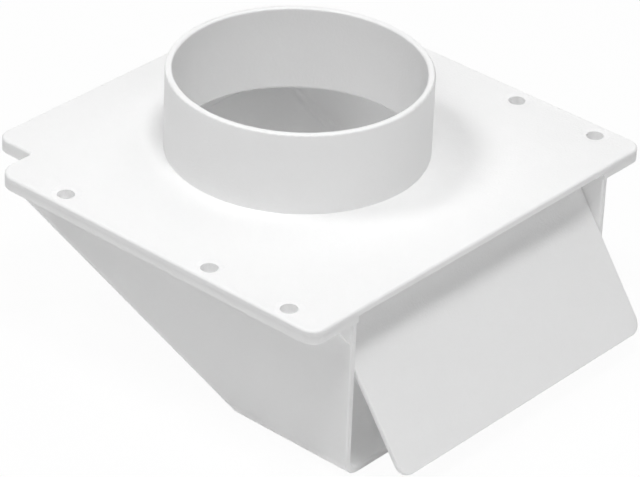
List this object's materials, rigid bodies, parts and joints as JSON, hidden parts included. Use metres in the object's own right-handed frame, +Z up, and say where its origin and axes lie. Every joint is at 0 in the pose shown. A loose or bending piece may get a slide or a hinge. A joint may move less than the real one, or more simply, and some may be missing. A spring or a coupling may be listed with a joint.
{
  "type": "under eave vent",
  "caption": "Soffit exhaust vent: a flat plate with a round duct collar above, a wedge hood below that opens forward, and a hinged damper flap over the outlet.",
  "frame": {"origin": "where the collar's axis meets the top face of the plate, which lies against the soffit", "axes": "+Z up along the collar towards the duct, -Y the way the outlet faces, +X to the right seen from the outlet"},
  "size_m": [0.187, 0.2008, 0.1046],
  "materials": {
    "white_plate": "satin moulded white polypropylene",
    "white_hood": "satin moulded white polypropylene",
    "white_flap": "satin moulded white polypropylene"
  },
  "bodies": {
    "housing": {"mounting_plate": "white_plate", "hood": "white_hood"},
    "flap": {"damper_flap": "white_flap"}
  },
  "joints": [
    {"name": "flap_hinge", "type": "hinge", "parent": "housing", "child": "flap", "pos_m": [0, -0.0785, -0.009], "axis": [-1, 0, 0], "range_deg": [-21.4, 55]}
  ]
}
